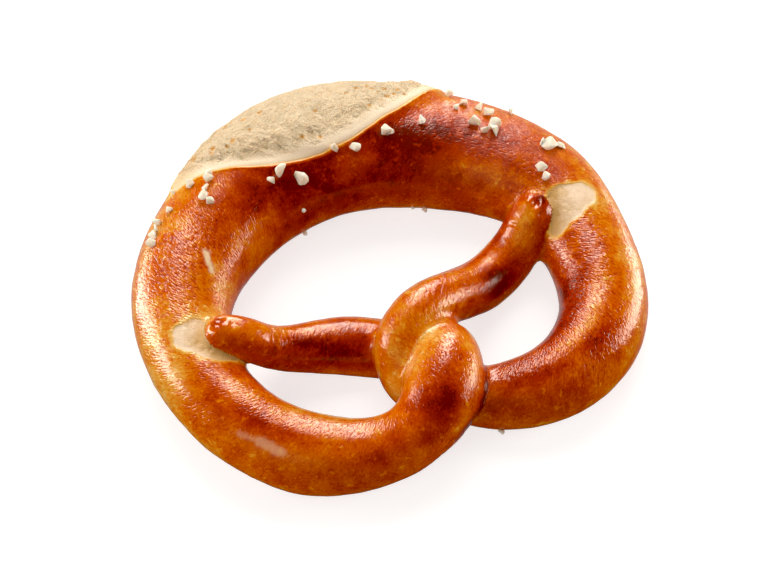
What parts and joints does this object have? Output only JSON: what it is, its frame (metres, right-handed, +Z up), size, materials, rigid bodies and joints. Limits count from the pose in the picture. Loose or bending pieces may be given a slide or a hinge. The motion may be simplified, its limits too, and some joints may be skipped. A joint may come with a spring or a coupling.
{
  "type": "soft pretzel",
  "caption": "Soft baked pretzel: a rope of dough looped and twisted, its ends pressed onto the loop, with a long open split along its thick belly and coarse salt.",
  "frame": {"origin": "on the table plane, under the middle of the pretzel's bounding box", "axes": "+Z up from the table, +Y from the twist towards the thick belly, +X towards the right side of the loop"},
  "size_m": [0.1632, 0.1456, 0.0333],
  "materials": {
    "crust": "satin",
    "crumb": "matte",
    "salt": "satin"
  },
  "bodies": {
    "root": {"pretzel": "crust"}
  },
  "joints": []
}
